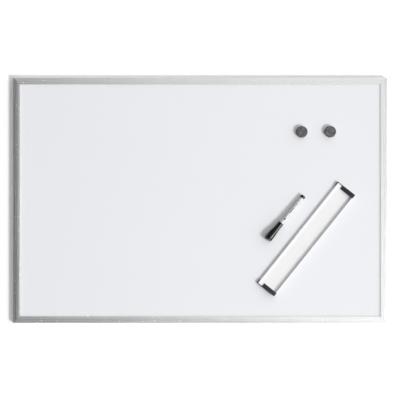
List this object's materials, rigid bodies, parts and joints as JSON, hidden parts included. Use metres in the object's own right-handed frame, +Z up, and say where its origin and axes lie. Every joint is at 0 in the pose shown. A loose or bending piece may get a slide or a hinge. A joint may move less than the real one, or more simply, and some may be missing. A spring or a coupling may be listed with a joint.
{
  "type": "magnetic whiteboard",
  "caption": "Wall-hung magnetic whiteboard in a slim mitred aluminium frame, with round magnets, a capped marker and a magnetic pen tray.",
  "frame": {"origin": "middle of the board's outline, on the wall that its hangers and bumpers lie against", "axes": "+Z up, +X to the right as seen from the front, +Y into the wall, so the writing surface faces -Y"},
  "size_m": [0.9, 0.031, 0.59],
  "materials": {
    "anodised_aluminium": "satin anodised, fine brushed grain along the rail",
    "white_enamel": "smooth gloss enamel on steel",
    "fibreboard": "raw fibreboard edge",
    "galvanised_steel": "galvanised, faint spangle",
    "zinc_casting": "raw die-cast zinc",
    "black_steel": "black oxide",
    "plated_steel": "bright zinc plated, folded edges",
    "grey_rubber": "moulded rubber, matt",
    "graphite_plastic": "fine textured moulding",
    "ferrite": "sintered ferrite, matt",
    "nickel_magnet": "nickel plated",
    "white_plastic": "glossy moulding",
    "black_plastic": "glossy moulding",
    "inked_felt": "ink-soaked fibre nib",
    "reservoir_fibre": "bundled fibre rod",
    "grey_felt": "pressed felt",
    "white_lacquer": "satin lacquered extrusion",
    "slate_plastic": "matt moulding",
    "magnetic_rubber": "filled magnetic rubber, matt"
  },
  "bodies": {
    "board": {"frame_rail_top": "anodised_aluminium", "frame_rail_bottom": "anodised_aluminium", "frame_rail_left": "anodised_aluminium", "frame_rail_right": "anodised_aluminium", "writing_sheet": "white_enamel", "core_board": "fibreboard", "backing_sheet": "galvanised_steel", "corner_key_bottom_left": "zinc_casting", "corner_key_top_left": "zinc_casting", "corner_key_top_right": "zinc_casting", "corner_key_bottom_right": "zinc_casting", "grub_screw_bottom_left_along": "black_steel", "grub_screw_bottom_left_up": "black_steel", "grub_screw_top_left_along": "black_steel", "grub_screw_top_left_up": "black_steel", "grub_screw_top_right_along": "black_steel", "grub_screw_top_right_up": "black_steel", "grub_screw_bottom_right_along": "black_steel", "grub_screw_bottom_right_up": "black_steel", "wall_bumper_left": "grey_rubber", "wall_bumper_right": "grey_rubber"},
    "hanger_left": {"wall_hanger_left": "plated_steel"},
    "hanger_right": {"wall_hanger_right": "plated_steel"},
    "magnet_left": {"magnet_left_shell": "graphite_plastic", "magnet_left_disc": "ferrite"},
    "magnet_right": {"magnet_right_shell": "graphite_plastic", "magnet_right_disc": "ferrite"},
    "marker": {"marker_barrel": "white_plastic", "marker_nib": "inked_felt", "ink_reservoir": "reservoir_fibre", "marker_end_plug": "black_plastic"},
    "cap": {"marker_cap": "black_plastic", "marker_cap_magnet": "nickel_magnet", "felt_eraser": "grey_felt"},
    "tray": {"tray_profile": "white_lacquer", "tray_magnet_strip_back": "magnetic_rubber", "tray_magnet_strip_front": "magnetic_rubber", "tray_end_cap_upper": "slate_plastic", "tray_end_cap_lower": "slate_plastic"}
  },
  "joints": [
    {"name": "hanger_left_slide", "type": "slide", "parent": "board", "child": "hanger_left", "axis": [1, 0, 0], "range_m": [-0.064, 0.3]},
    {"name": "hanger_right_slide", "type": "slide", "parent": "board", "child": "hanger_right", "axis": [1, 0, 0], "range_m": [-0.3, 0.064]},
    {"name": "magnet_left_pull", "type": "slide", "parent": "board", "child": "magnet_left", "axis": [0, -1, 0], "range_m": [0, 0.05]},
    {"name": "magnet_right_pull", "type": "slide", "parent": "board", "child": "magnet_right", "axis": [0, -1, 0], "range_m": [0, 0.05]},
    {"name": "marker_pull", "type": "slide", "parent": "board", "child": "marker", "axis": [0, -1, 0], "range_m": [0, 0.06]},
    {"name": "cap_pull", "type": "slide", "parent": "marker", "child": "cap", "axis": [-0.6398, -0.0303, -0.7679], "range_m": [0, 0.055]},
    {"name": "tray_pull", "type": "slide", "parent": "board", "child": "tray", "axis": [0, -1, 0], "range_m": [0, 0.08]}
  ]
}
